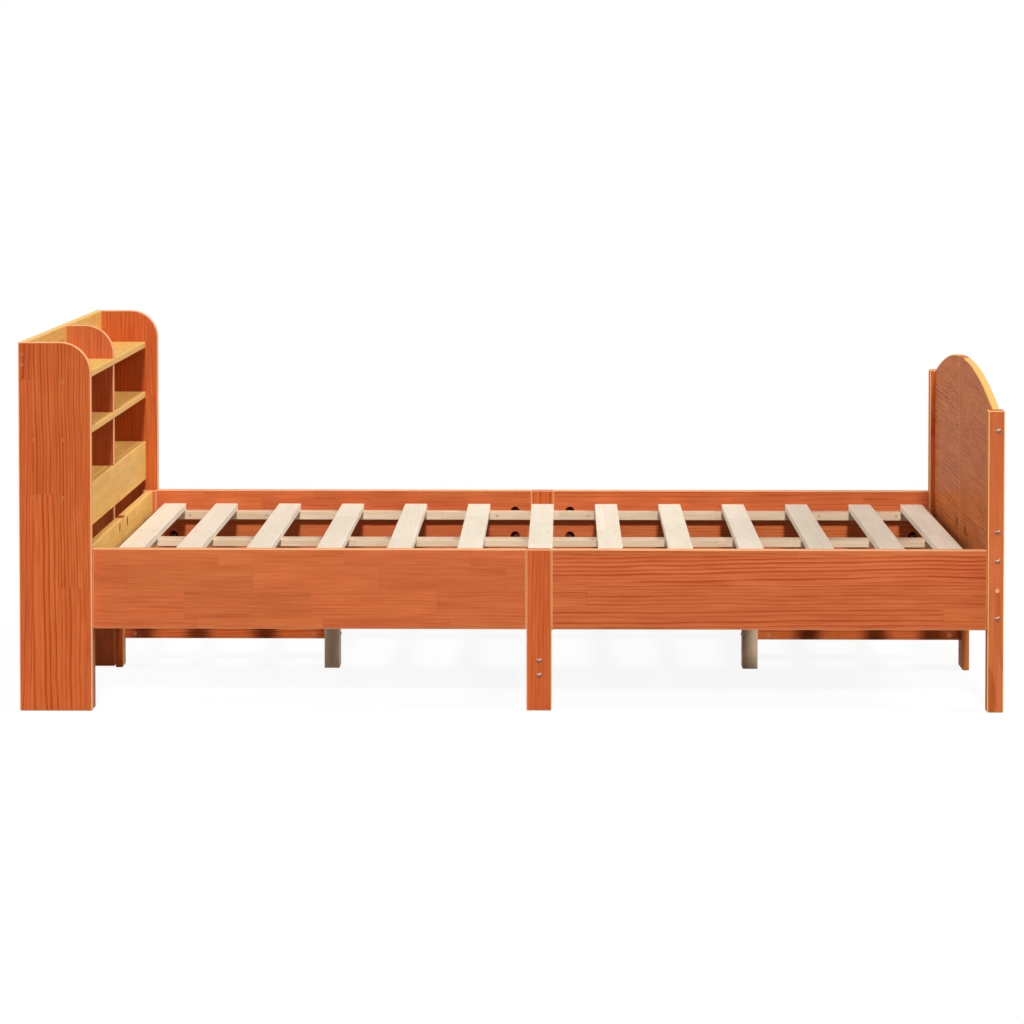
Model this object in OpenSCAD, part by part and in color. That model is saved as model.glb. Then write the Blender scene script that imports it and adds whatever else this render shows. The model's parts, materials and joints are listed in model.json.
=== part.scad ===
// Knock-down bed frame in solid pine, with a bookcase headboard and an arched footboard.
// The head end lies towards -X and the foot end towards +X, +Z is up, and the origin lies on
// the floor under the middle of the frame. Left and right are as seen from the foot end: the
// left side is -Y. Both sides are alike, so every side piece is drawn on the left and mirrored.

/* [Mattress] */
// Width of the mattress
mattress_w = 1200; // [1100:10:1400]
// Length of the mattress
mattress_l = 2000; // [1900:10:2100]
// Play between the mattress and each side rail
side_play = 3; // [0:1:10]
// Play between the mattress and the legs at each end
end_play = 12; // [5:1:20]

/* [Side rails and posts] */
// Thickness of the side rails
rail_t = 25; // [22:1:28]
// Height of the rail boards, and of the lower head boards
rail_h = 182; // [160:1:195]
// Height of the upper edge of the rails above the floor
rail_top = 367; // [355:1:390]
// Width of the middle posts and of the head centre leg
mid_post_w = 57; // [50:1:70]
// Thickness of the corner posts, along the bed
post_t = 37; // [34:1:45]
// Depth of the corner posts, across the bed
post_d = 40; // [38:1:50]
// How far the foot posts stand proud of the side rails
post_proud = 13; // [8:1:14]
// Radius of the eased edges of the stained boards
ease_r = 3; // [1:0.5:4]

/* [Footboard] */
// Height of the foot posts
foot_post_h = 684; // [600:1:750]
// Rise of the arch between the foot posts
arch_rise = 78; // [50:1:120]
// Thickness of the footboard panels and of the foot centre leg
foot_panel_t = 17; // [15:1:20]
// Setback of the panels behind the inner faces of the foot posts
foot_panel_set = 13; // [8:1:14]
// Width of the foot centre leg
foot_leg_w = 88; // [70:1:100]

/* [Headboard frame] */
// Thickness of the lower head boards and of the head centre leg
head_board_t = 18; // [16:1:22]
// Setback of the lower head boards behind the front of the head legs
head_board_set = 10; // [6:1:12]
// Room for bolt heads between the head centre leg and the bookcase
bolt_head_room = 4; // [4:1:8]

/* [Bookcase] */
// Height of the bookcase
case_h = 837; // [800:1:900]
// Depth of the side boards
case_depth = 164; // [150:1:200]
// Thickness of the side boards
case_side_t = 20; // [18:1:25]
// Radius of the upper front corners of the side boards and of the divider
case_corner_r = 70; // [40:1:80]
// Thickness of the divider
divider_t = 18; // [16:1:22]
// Thickness of the back boards
back_t = 17; // [14:1:20]
// Thickness of the shelves
shelf_t = 16; // [13:1:20]
// Height of the side boards above the top shelf
tray_h = 82; // [75:1:100]
// Thickness of the apron
apron_t = 17; // [14:1:20]
// Height of the apron under the lowest shelf
apron_h = 101; // [80:1:110]
// Gap between the upper edge of the rails and the apron above them
apron_gap = 25; // [10:1:40]

/* [Slats and supports] */
// Width of a slat
slat_w = 58; // [45:1:70]
// Thickness of a slat
slat_t = 17; // [15:1:20]
// Gap between the first or last slat and the legs
end_slat_gap = 19; // [10:1:25]
// Distance from the first or last slat to its neighbour
end_slat_step = 135.5; // [120:0.5:150]
// Height of the upper faces of the slats above the floor
slat_top = 332; // [325:1:340]
// Height of the cleats that carry the ends of the slats
cleat_h = 22; // [20:1:30]
// Width of the cleats
cleat_t = 30; // [25:1:35]
// Width of the centre beam
beam_w = 62; // [50:1:80]
// Thickness of the centre beam
beam_t = 17; // [15:1:25]
// Thickness of the support legs, along the bed
leg_t = 37; // [34:1:45]
// Width of the support legs, across the bed
leg_w = 57; // [50:1:70]
// Distance from the middle of the frame to each support leg
leg_offset = 510; // [450:1:560]
// Height of the stretchers
stretcher_h = 57; // [50:1:65]
// Thickness of the stretchers
stretcher_t = 22; // [20:1:28]
// Height of the lower edges of the stretchers above the floor
stretcher_z = 69; // [40:1:85]

/* [Joint hardware] */
// Diameter of the studs and bolts in the side rails
rail_tie_d = 8; // [6:1:8]
// Diameter of the other studs and bolts
bolt_d = 6; // [5:1:7]
// Diameter of the pockets for the half-moon washers
pocket_d = 25; // [24:1:28]
// Distance from the end of a board to the middle of its pocket
pocket_inset = 43; // [38:1:50]
// Height of the lower rail pockets above the lower edge of the rail
rail_pocket_low = 62; // [55:1:70]
// Height of the upper rail pockets above the lower edge of the rail
rail_pocket_high = 127; // [120:1:135]
// Distance from the edges of an end board to the middle of its pockets
end_pocket_edge = 20; // [18:1:30]
// Diameter of the barrel nuts
barrel_d = 10; // [9:1:12]
// Distance from the end of a stretcher to its barrel nuts
barrel_inset = 28; // [22:1:40]
// Diameter of the connector screws in the foot posts
connector_d = 6; // [5:0.5:7]
// Diameter of the wood screws
screw_d = 3.5; // [3:0.5:4.5]
// Diameter of the dowels
dowel_d = 10; // [8:1:12]

/* [Hidden] */
slat_count = 13;
function slat_name(i) = str("slat_", i < 10 ? "0" : "", i);

stained = "#c6612c";
natural = "#e6d3b8";
steel = "#b9bcc0";

// Places along the bed
clear_l = mattress_l + 2 * end_play;
frame_l = case_depth + clear_l + post_t;
case_back_x = -frame_l / 2;
case_front_x = case_back_x + case_depth;
head_leg_back_x = case_front_x - post_t;
foot_face_x = case_front_x + clear_l;
foot_back_x = foot_face_x + post_t;
mid_x = (case_front_x + foot_face_x) / 2;
head_board_front_x = case_front_x - head_board_set;
head_board_back_x = head_board_front_x - head_board_t;
shelf_front_x = head_board_back_x - bolt_head_room;
shelf_back_x = case_back_x + back_t;
lap_x = (shelf_back_x + shelf_front_x) / 2;
foot_panel_front_x = foot_face_x + foot_panel_set;
foot_panel_back_x = foot_panel_front_x + foot_panel_t;

// Places across the bed, as distances from the middle
well_half = mattress_w / 2 + side_play;
rail_out = well_half + rail_t;
rail_mid = well_half + rail_t / 2;
case_out = rail_out + case_side_t;
foot_post_out = rail_out + post_proud;
foot_post_in = foot_post_out - post_d;
head_leg_in = rail_out - post_d;

// Heights
rail_z = rail_top - rail_h;
slat_z = slat_top - slat_t;
cleat_z = slat_z - cleat_h;
beam_z = slat_z - beam_t;
apron_z = rail_top + apron_gap;
low_shelf_top = apron_z + apron_h;
arch_top = foot_post_h + arch_rise;

// Fits
fit_gap = 0.1;
slat_end_gap = 1.5;
cleat_end_gap = 2;
cleat_reach = 20;
slat_pitch = 2 * (clear_l / 2 - end_slat_gap - slat_w / 2 - end_slat_step) / (slat_count - 3);
shelf_pitch = (case_h - tray_h - low_shelf_top) / 2;
natural_ease = 1.5;
slat_corner_r = 5;
divider_half = divider_t / 2;
rail_l = (clear_l - mid_post_w) / 2;
arch_r = (pow(foot_post_in, 2) + pow(arch_rise, 2)) / (2 * arch_rise);

// Heights of the rows of joint hardware
rail_tie_zs = [rail_z + rail_pocket_low, rail_z + rail_pocket_high];
end_tie_zs = [rail_z + end_pocket_edge, rail_top - end_pocket_edge];
stretcher_bolt_zs = [for (share = [0.21, 0.79]) stretcher_z + share * stretcher_h];
foot_fix_low = 28;
foot_fix_middle = 158;
foot_fix_high = 224;
foot_fix_top = 46;
connector_zs = [
    rail_z + foot_fix_low,
    rail_z + foot_fix_middle,
    rail_z + foot_fix_high,
    foot_post_h - foot_fix_top
];
foot_dowel_z = rail_z + 92;
head_dowel_step = 20;
head_dowel_zs = [rail_tie_zs[0] - head_dowel_step, rail_tie_zs[1] + head_dowel_step];
shelf_tops = [for (i = [0 : 2]) low_shelf_top + i * shelf_pitch];

// Hardware sizes
counterbore_depth = 6;
tie_tail = 3;
washer_flat = 0.24 * pocket_d;
pocket_room = 1;
bolt_grip = 5;
connector_bite = 35;
screw_l = 45;
slat_screw_l = 30;
slat_screw_gap = 33;
beam_screw_l = 50;
beam_screw_side = 18;
dowel_half = 30;

function head_w(d) = 2 * d + 1;
function head_h(d) = 0.5 * d;
function nut_w(d) = 1.65 * d;
function nut_h(d) = 0.8 * d;
function pocket_depth(board_t, tie_d) = board_t / 2 + nut_w(tie_d) / 2 + pocket_room;
function slat_row_x(i) = mid_x + (i - (slat_count + 1) / 2) * slat_pitch;
function slat_x(i) =
    i == 1 ? case_front_x + end_slat_gap + slat_w / 2
    : i == slat_count ? foot_face_x - end_slat_gap - slat_w / 2
    : slat_row_x(i);

// Shapes that repeat

module both_sides() {
    children();
    mirror([0, 1, 0]) children();
}

module rounded_rect(w, h, r) {
    translate([r, 0]) square([w - 2 * r, h]);
    translate([0, r]) square([w, h - 2 * r]);
    for (x = [r, w - r], y = [r, h - r]) translate([x, y]) circle(r, $fn = 32);
}

// Board with one corner at the origin and every edge eased, as three crossed prisms
module board(size, r = ease_r) {
    intersection() {
        linear_extrude(size.z) rounded_rect(size.x, size.y, r);
        translate([0, size.y, 0])
            rotate([90, 0, 0])
                linear_extrude(size.y) rounded_rect(size.x, size.z, r);
        rotate([90, 0, 90]) linear_extrude(size.x) rounded_rect(size.y, size.z, r);
    }
}

// Board between two opposite corners
module board_between(from, to, r = ease_r) {
    translate(from) board(to - from, r);
}

// Upright board whose upper front corner is a wide arc, with the edge eased right round it
module arched_side(depth, height, t) {
    arc_x = depth - case_corner_r;
    arc_z = height - case_corner_r;
    difference() {
        board([depth, t, height]);
        translate([arc_x, -1, arc_z]) cube([case_corner_r + 1, t + 2, case_corner_r + 1]);
    }
    translate([arc_x, t, arc_z])
        rotate([90, 0, 0])
            rotate_extrude(angle = 90, $fn = 128) eased_rim(case_corner_r, t);
}

// Half section of a disc with an eased rim
module eased_rim(r, t) {
    intersection() {
        translate([-r, 0]) rounded_rect(2 * r, t, ease_r);
        square([r, t]);
    }
}

// Footboard piece between two distances from the middle, its upper edge on the arch
module arch_piece(y0, y1, z0) {
    intersection() {
        translate([foot_panel_front_x, 0, arch_top - arch_r])
            rotate([0, 90, 0])
                rotate_extrude($fn = 720) eased_rim(arch_r, foot_panel_t);
        board_between([foot_panel_front_x, y0, z0], [foot_panel_back_x, y1, arch_top + 2 * ease_r]);
    }
}

// Pocket for a half-moon washer, its joint towards +X and its mouth at y = 0
module pocket(board_t, tie_d) {
    translate([0, 1, 0])
        rotate([90, 0, 0]) cylinder(d = pocket_d, h = pocket_depth(board_t, tie_d) + 1, $fn = 64);
}

// Half-moon washer and nut in the middle of a pocket, tightened towards +X
module washer_and_nut(tie_d) {
    difference() {
        rotate([90, 0, 0])
            cylinder(r = pocket_d / 2 - fit_gap, h = nut_w(tie_d), center = true, $fn = 64);
        translate([washer_flat - pocket_d, -pocket_d, -pocket_d / 2])
            cube([pocket_d, 2 * pocket_d, pocket_d]);
        rotate([0, 90, 0]) cylinder(d = tie_d + 2 * fit_gap, h = pocket_d, $fn = 48);
    }
    translate([washer_flat - fit_gap - nut_h(tie_d), 0, 0])
        rotate([0, 90, 0])
            difference() {
                cylinder(d = nut_w(tie_d) / cos(30), h = nut_h(tie_d), $fn = 6);
                translate([0, 0, -1])
                    cylinder(d = tie_d + 2 * fit_gap, h = nut_h(tie_d) + 2, $fn = 48);
            }
}

// Button head with a hexagon socket, standing on z = 0
module button_head(d) {
    crown_r = head_w(d) * 0.62;
    difference() {
        intersection() {
            cylinder(d = head_w(d), h = head_h(d), $fn = 64);
            translate([0, 0, head_h(d) - crown_r]) sphere(r = crown_r, $fn = 96);
        }
        translate([0, 0, head_h(d) * 0.4]) cylinder(d = 0.75 * d, h = head_h(d), $fn = 6);
    }
}

// Bolt or connector with its head on z = 0 and its shank running down
module bolt(d, l) {
    button_head(d);
    translate([0, 0, -l]) cylinder(d = d, h = l, $fn = 48);
}

module bolt_hole(d, l) {
    translate([0, 0, -l - fit_gap]) cylinder(d = d + 2 * fit_gap, h = l + 1, $fn = 48);
}

// Countersunk wood screw with its head flush at z = 0 and its shank running down
module screw(l) {
    translate([0, 0, -l]) cylinder(d = screw_d, h = l, $fn = 32);
    translate([0, 0, -screw_d / 2]) cylinder(r1 = screw_d / 2, r2 = screw_d, h = screw_d / 2, $fn = 32);
}

module screw_hole(l) {
    hole_r = screw_d / 2 + fit_gap;
    translate([0, 0, -l - fit_gap]) cylinder(r = hole_r, h = l + 1, $fn = 32);
    translate([0, 0, -screw_d / 2]) cylinder(r1 = hole_r, r2 = screw_d + fit_gap, h = screw_d / 2, $fn = 32);
    cylinder(r = screw_d + fit_gap, h = 1, $fn = 32);
}

// Dowel along Z through the origin, and its hole
module dowel(below, above) {
    translate([0, 0, -below]) cylinder(d = dowel_d, h = below + above, $fn = 48);
}

module dowel_hole(below, above) {
    translate([0, 0, -below - fit_gap])
        cylinder(d = dowel_d + 2 * fit_gap, h = below + above + 2 * fit_gap, $fn = 48);
}

// Joint sites: each sets its children where a fastener goes, so a hole and what fills it agree

// Pocket middles at the head and foot ends of both left rails, on the inner face
module rail_pocket_sites() {
    for (z = rail_tie_zs) {
        for (x = [case_front_x, mid_x + mid_post_w / 2])
            translate([x + pocket_inset, -well_half, z]) mirror([1, 0, 0]) children();
        for (x = [mid_x - mid_post_w / 2, foot_face_x])
            translate([x - pocket_inset, -well_half, z]) children();
    }
}

// Seats of the left rail bolts, deep in the far faces of the corner posts
module rail_bolt_sites() {
    for (z = rail_tie_zs) {
        translate([foot_back_x - counterbore_depth, -rail_mid, z]) rotate([0, 90, 0]) children();
        translate([head_leg_back_x + counterbore_depth, -rail_mid, z]) rotate([0, -90, 0]) children();
    }
}

// Middles of the studs through the left middle post
module rail_stud_sites() {
    for (z = rail_tie_zs) translate([mid_x, -rail_mid, z]) rotate([0, 90, 0]) children();
}

// Pocket middles beside the head centre leg, on the left
module head_pocket_sites() {
    for (z = end_tie_zs)
        translate([head_board_front_x, -mid_post_w / 2 - pocket_inset, z])
            mirror([1, 0, 0]) rotate(90) children();
}

// Pocket middles beside the foot centre leg, on the left
module foot_pocket_sites() {
    for (z = end_tie_zs)
        translate([foot_panel_front_x, -foot_leg_w / 2 - pocket_inset, z]) rotate(90) children();
}

// Middles of the studs through the head centre leg
module head_stud_sites() {
    for (z = end_tie_zs)
        translate([head_board_front_x - head_board_t / 2, 0, z]) rotate([90, 0, 0]) children();
}

// Middles of the studs through the foot centre leg
module foot_stud_sites() {
    for (z = end_tie_zs)
        translate([foot_panel_front_x + foot_panel_t / 2, 0, z]) rotate([90, 0, 0]) children();
}

// Each stretcher end: place of the joint face, the way it faces, and what the bolt goes through
stretcher_ends = [
    [[head_board_front_x, 0], 180, head_board_t],
    [[mid_x - leg_offset - leg_t / 2, 0], 0, leg_t],
    [[mid_x + leg_offset + leg_t / 2, 0], 180, leg_t],
    [[foot_panel_front_x, 0], 0, foot_panel_t],
    [[mid_x, -well_half], -90, rail_t],
    [[mid_x, well_half], 90, rail_t]
];

module stretcher_end_sites() {
    for (end = stretcher_ends, z = stretcher_bolt_zs)
        translate([end[0].x, end[0].y, z]) rotate(end[1]) {
            $through = end[2];
            children();
        }
}

module stretcher_bolt() {
    translate([$through, 0, 0])
        rotate([0, 90, 0]) bolt(bolt_d, $through + barrel_inset + barrel_d / 2 + bolt_grip);
}

module stretcher_bolt_hole() {
    translate([$through, 0, 0])
        rotate([0, 90, 0]) bolt_hole(bolt_d, $through + barrel_inset + barrel_d / 2 + bolt_grip);
    translate([-barrel_inset, 0, 0])
        rotate([90, 0, 0])
            cylinder(d = barrel_d + 2 * fit_gap, h = stretcher_t + 2, center = true, $fn = 48);
}

// Slotted barrel nut with its cross bore along X
module barrel_nut() {
    slot_w = 0.16 * barrel_d;
    translate([-barrel_inset, 0, 0])
        difference() {
            rotate([90, 0, 0]) cylinder(d = barrel_d, h = stretcher_t - 2, center = true, $fn = 48);
            rotate([0, 90, 0])
                cylinder(d = bolt_d + 2 * fit_gap, h = barrel_d + 2, center = true, $fn = 48);
            translate([-slot_w / 2, -stretcher_t / 2, -barrel_d])
                cube([slot_w, 2 * slot_w, 2 * barrel_d]);
        }
}

// Connector screws through the left foot post into the edge of its panel
module connector_sites() {
    for (z = connector_zs)
        translate([foot_panel_front_x + foot_panel_t / 2, -foot_post_out, z])
            rotate([90, 0, 0]) children();
}

// Screws through the left side board into the shelves, the apron and the back board
shelf_screw_xs = [shelf_back_x + 17, shelf_front_x - 31];
apron_screw_zs = [apron_z + 30, apron_z + 57];
case_back_screw_zs = [case_h - 51, case_h - 27];

module case_side_screw_sites() {
    for (x = shelf_screw_xs, top = shelf_tops)
        translate([x, -case_out, top - shelf_t / 2]) rotate([90, 0, 0]) children();
    for (z = apron_screw_zs)
        translate([shelf_front_x - apron_t / 2, -case_out, z]) rotate([90, 0, 0]) children();
    for (z = case_back_screw_zs)
        translate([case_back_x + back_t / 2, -case_out, z]) rotate([90, 0, 0]) children();
}

// Places along a shelf where something holds its edges, as shares of its half length
shelf_fix_shares = [0.25, 0.75];

// Screws through the left back board into the rear edges of the shelves
module case_back_screw_sites() {
    for (share = shelf_fix_shares, top = shelf_tops)
        translate([case_back_x, -share * rail_out, top - shelf_t / 2]) rotate([0, -90, 0]) children();
}

// Screws from inside the left head leg into the side board of the bookcase
leg_screw_zs = [rail_z - 125, rail_z - 35];

module leg_screw_sites() {
    for (z = leg_screw_zs)
        translate([case_front_x - post_t / 2, -head_leg_in, z]) rotate([-90, 0, 0]) children();
}

leg_screw_l = post_d + 0.75 * case_side_t;

// Screws through the slats into the centre beam
module slat_screw_sites(i) {
    for (side = [-1, 1])
        translate([slat_x(i) + side * slat_screw_gap / 2, 0, slat_top]) children();
}

// Screws down through the centre beam into the support legs and the beam post
module beam_screw_sites() {
    for (x = [mid_x - leg_offset, mid_x - leg_t / 4, mid_x + leg_t / 4, mid_x + leg_offset])
        for (side = [-1, 1]) translate([x, side * beam_screw_side, slat_z]) children();
}

// Screws through the left cleats into the rails
cleat_screw_count = 5;
cleat_screw_inset = 90;
cleat_screw_l = cleat_t + 0.6 * rail_t;

module cleat_screw_sites() {
    step = (rail_l - 2 * cleat_screw_inset) / (cleat_screw_count - 1);
    for (x0 = [case_front_x, mid_x + mid_post_w / 2], i = [0 : cleat_screw_count - 1])
        translate([x0 + cleat_screw_inset + i * step, cleat_t - well_half, cleat_z + cleat_h / 2])
            rotate([-90, 0, 0]) children();
}

// Dowels that locate the left head board on its leg
module head_dowel_sites() {
    for (z = head_dowel_zs)
        translate([head_board_front_x - head_board_t / 2, -head_leg_in, z])
            rotate([90, 0, 0]) children();
}

// Dowel through the left foot post into its panel
module foot_dowel_site() {
    translate([foot_panel_front_x + foot_panel_t / 2, -foot_post_in, foot_dowel_z])
        rotate([90, 0, 0]) children();
}

// Small dowels between the front edge of the low shelf and the apron, in its left half
shelf_dowel_d = 8;
shelf_dowel_deep = 25;
apron_dowel_deep = 10;

module shelf_dowel_sites() {
    for (share = shelf_fix_shares)
        translate([shelf_front_x - apron_t, -share * rail_out, low_shelf_top - shelf_t / 2])
            rotate([0, 90, 0]) children();
}

module shelf_dowel(gap = 0) {
    dowel_l = shelf_dowel_deep + apron_dowel_deep;
    translate([0, 0, -shelf_dowel_deep - gap])
        cylinder(d = shelf_dowel_d + 2 * gap, h = dowel_l + 2 * gap, $fn = 32);
}

// Dowel that locates the beam post on the cross stretcher
module post_dowel_site() {
    translate([mid_x, 0, stretcher_z + stretcher_h]) children();
}

// Side rails

module left_rail(x0) {
    color(stained) difference() {
        board_between([x0, -rail_out, rail_z], [x0 + rail_l, -well_half, rail_top]);
        rail_pocket_sites() pocket(rail_t, rail_tie_d);
        rail_bolt_sites() bolt_hole(rail_tie_d, rail_bolt_l);
        rail_stud_sites() rail_stud_hole();
        cleat_screw_sites() screw_hole(cleat_screw_l);
    }
}

rail_bolt_l = post_t - counterbore_depth + pocket_inset + tie_tail;
rail_stud_l = mid_post_w + 2 * (pocket_inset + tie_tail);

module rail_stud_hole() {
    cylinder(d = rail_tie_d + 2 * fit_gap, h = rail_stud_l + 2 * fit_gap, center = true, $fn = 48);
}

module rail_left_head() {
    left_rail(case_front_x);
}

module rail_left_foot() {
    left_rail(mid_x + mid_post_w / 2);
}

module rail_right_head() {
    mirror([0, 1, 0]) rail_left_head();
}

module rail_right_foot() {
    mirror([0, 1, 0]) rail_left_foot();
}

// Middle posts, which join the two halves of each side

module mid_post_left() {
    half_w = mid_post_w / 2;
    color(stained) difference() {
        board_between([mid_x - half_w, -rail_out, 0], [mid_x + half_w, -well_half, rail_top]);
        rail_stud_sites() rail_stud_hole();
        stretcher_end_sites() stretcher_bolt_hole();
    }
}

module mid_post_right() {
    mirror([0, 1, 0]) mid_post_left();
}

// Footboard

module foot_post_left() {
    color(stained) difference() {
        board_between([foot_face_x, -foot_post_out, 0], [foot_back_x, -foot_post_in, foot_post_h]);
        rail_bolt_sites() counterbored_hole();
        connector_sites() bolt_hole(connector_d, connector_l);
        foot_dowel_site() dowel_hole(dowel_half, post_d + 1);
    }
}

connector_l = post_d + connector_bite;

module counterbored_hole() {
    bolt_hole(rail_tie_d, rail_bolt_l);
    cylinder(d = head_w(rail_tie_d) + 1, h = counterbore_depth + 1, $fn = 48);
}

module foot_post_right() {
    mirror([0, 1, 0]) foot_post_left();
}

module foot_panel_left() {
    color(stained) difference() {
        arch_piece(-foot_post_in, -foot_leg_w / 2, rail_z);
        foot_pocket_sites() pocket(foot_panel_t, bolt_d);
        foot_stud_sites() foot_stud_hole();
        connector_sites() bolt_hole(connector_d, connector_l);
        foot_dowel_site() dowel_hole(dowel_half, post_d);
    }
}

foot_stud_l = foot_leg_w + 2 * (pocket_inset + tie_tail);

module foot_stud_hole() {
    cylinder(d = bolt_d + 2 * fit_gap, h = foot_stud_l + 2 * fit_gap, center = true, $fn = 48);
}

module foot_panel_right() {
    mirror([0, 1, 0]) foot_panel_left();
}

module foot_centre_leg() {
    color(stained) difference() {
        arch_piece(-foot_leg_w / 2, foot_leg_w / 2, 0);
        foot_stud_sites() foot_stud_hole();
        stretcher_end_sites() stretcher_bolt_hole();
    }
}

// Head end of the frame

module head_leg_left() {
    color(stained) difference() {
        board_between([head_leg_back_x, -rail_out, 0], [case_front_x, -head_leg_in, rail_top]);
        rail_bolt_sites() counterbored_hole();
        leg_screw_sites() screw_hole(leg_screw_l);
        head_dowel_sites() dowel_hole(dowel_half, dowel_half);
    }
}

module head_leg_right() {
    mirror([0, 1, 0]) head_leg_left();
}

module head_board_left() {
    color(stained) difference() {
        board_between(
            [head_board_back_x, -head_leg_in, rail_z],
            [head_board_front_x, -mid_post_w / 2, rail_top]
        );
        head_pocket_sites() pocket(head_board_t, bolt_d);
        head_stud_sites() head_stud_hole();
        head_dowel_sites() dowel_hole(dowel_half, dowel_half);
    }
}

head_stud_l = mid_post_w + 2 * (pocket_inset + tie_tail);

module head_stud_hole() {
    cylinder(d = bolt_d + 2 * fit_gap, h = head_stud_l + 2 * fit_gap, center = true, $fn = 48);
}

module head_board_right() {
    mirror([0, 1, 0]) head_board_left();
}

module head_centre_leg() {
    half_w = mid_post_w / 2;
    color(stained) difference() {
        board_between([head_board_back_x, -half_w, 0], [head_board_front_x, half_w, rail_top]);
        head_stud_sites() head_stud_hole();
        stretcher_end_sites() stretcher_bolt_hole();
    }
}

// Bookcase

module case_side_left() {
    color(stained) difference() {
        translate([case_back_x, -case_out, 0]) arched_side(case_depth, case_h, case_side_t);
        case_side_screw_sites() screw_hole(screw_l);
        leg_screw_sites() screw_hole(leg_screw_l);
    }
}

module case_side_right() {
    mirror([0, 1, 0]) case_side_left();
}

// Divider, lapped with each shelf: its slots are open to the front, those of the shelves to the back
module case_divider() {
    slot_depth = shelf_front_x - lap_x + fit_gap;
    color(stained) difference() {
        translate([shelf_back_x, -divider_half, 0])
            arched_side(shelf_front_x - shelf_back_x, case_h, divider_t);
        for (top = shelf_tops)
            translate([lap_x - fit_gap, -divider_t, top - shelf_t])
                cube([slot_depth + 1, 2 * divider_t, shelf_t + fit_gap]);
        translate([shelf_front_x - apron_t - fit_gap, -divider_t, apron_z])
            cube([apron_t + fit_gap + 1, 2 * divider_t, apron_h + fit_gap]);
    }
}

module case_back_left() {
    color(stained) difference() {
        board_between([case_back_x, -rail_out, apron_z], [shelf_back_x, 0, case_h]);
        case_side_screw_sites() screw_hole(screw_l);
        case_back_screw_sites() screw_hole(screw_l);
    }
}

module case_back_right() {
    mirror([0, 1, 0]) case_back_left();
}

// Shelf right across the bookcase, slotted at the back for the divider
module shelf(level, front_x) {
    top = shelf_tops[level];
    slot_half = divider_half + fit_gap;
    color(stained) difference() {
        board_between([shelf_back_x, -rail_out, top - shelf_t], [front_x, rail_out, top]);
        translate([shelf_back_x - 1, -slot_half, top - shelf_t - 1])
            cube([lap_x - shelf_back_x + 1, 2 * slot_half, shelf_t + 2]);
        both_sides() {
            case_side_screw_sites() screw_hole(screw_l);
            case_back_screw_sites() screw_hole(screw_l);
            shelf_dowel_sites() shelf_dowel(fit_gap);
        }
    }
}

module top_shelf() {
    shelf(2, shelf_front_x);
}

module middle_shelf() {
    shelf(1, shelf_front_x);
}

module low_shelf() {
    shelf(0, shelf_front_x - apron_t);
}

module apron() {
    color(stained) difference() {
        board_between(
            [shelf_front_x - apron_t, -rail_out, apron_z],
            [shelf_front_x, rail_out, low_shelf_top]
        );
        both_sides() {
            case_side_screw_sites() screw_hole(screw_l);
            shelf_dowel_sites() shelf_dowel(fit_gap);
        }
    }
}

// Slat supports

// Cleats reach past the rails on to the middle post, where they carry the middle slat
module left_cleat(x0, x1) {
    color(natural) difference() {
        board_between([x0, -well_half, cleat_z], [x1, cleat_t - well_half, slat_z], natural_ease);
        cleat_screw_sites() screw_hole(cleat_screw_l);
    }
}

module cleat_left_head() {
    left_cleat(case_front_x + cleat_end_gap, mid_x - mid_post_w / 2 + cleat_reach);
}

module cleat_left_foot() {
    left_cleat(mid_x + mid_post_w / 2 - cleat_reach, foot_face_x - cleat_end_gap);
}

module cleat_right_head() {
    mirror([0, 1, 0]) cleat_left_head();
}

module cleat_right_foot() {
    mirror([0, 1, 0]) cleat_left_foot();
}

module centre_beam(x0, x1) {
    color(natural) difference() {
        board_between([x0, -beam_w / 2, beam_z], [x1, beam_w / 2, slat_z], natural_ease);
        for (i = [1 : slat_count]) slat_screw_sites(i) screw_hole(slat_screw_l);
        beam_screw_sites() screw_hole(beam_screw_l);
    }
}

module centre_beam_head() {
    centre_beam(slat_x(1) - slat_w / 2, mid_x);
}

module centre_beam_foot() {
    centre_beam(mid_x, slat_x(slat_count) + slat_w / 2);
}

// Upright of the support leg stock, centred on x and reaching up to the centre beam
module beam_upright(x, z0) {
    board_between(
        [x - leg_t / 2, -leg_w / 2, z0],
        [x + leg_t / 2, leg_w / 2, beam_z],
        natural_ease
    );
}

module support_leg(x) {
    color(natural) difference() {
        beam_upright(x, 0);
        stretcher_end_sites() stretcher_bolt_hole();
        beam_screw_sites() screw_hole(beam_screw_l);
    }
}

module support_leg_head() {
    support_leg(mid_x - leg_offset);
}

module support_leg_foot() {
    support_leg(mid_x + leg_offset);
}

module beam_post() {
    color(natural) difference() {
        beam_upright(mid_x, stretcher_z + stretcher_h);
        beam_screw_sites() screw_hole(beam_screw_l);
        post_dowel_site() dowel_hole(dowel_half, dowel_half);
    }
}

module long_stretcher(x0, x1) {
    half_t = stretcher_t / 2;
    color(stained) difference() {
        board_between([x0, -half_t, stretcher_z], [x1, half_t, stretcher_z + stretcher_h]);
        stretcher_end_sites() stretcher_bolt_hole();
    }
}

module stretcher_head() {
    long_stretcher(head_board_front_x, mid_x - leg_offset - leg_t / 2);
}

module stretcher_foot() {
    long_stretcher(mid_x + leg_offset + leg_t / 2, foot_panel_front_x);
}

module cross_stretcher() {
    half_t = stretcher_t / 2;
    color(stained) difference() {
        board_between(
            [mid_x - half_t, -well_half, stretcher_z],
            [mid_x + half_t, well_half, stretcher_z + stretcher_h]
        );
        stretcher_end_sites() stretcher_bolt_hole();
        post_dowel_site() dowel_hole(dowel_half, dowel_half);
    }
}

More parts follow.
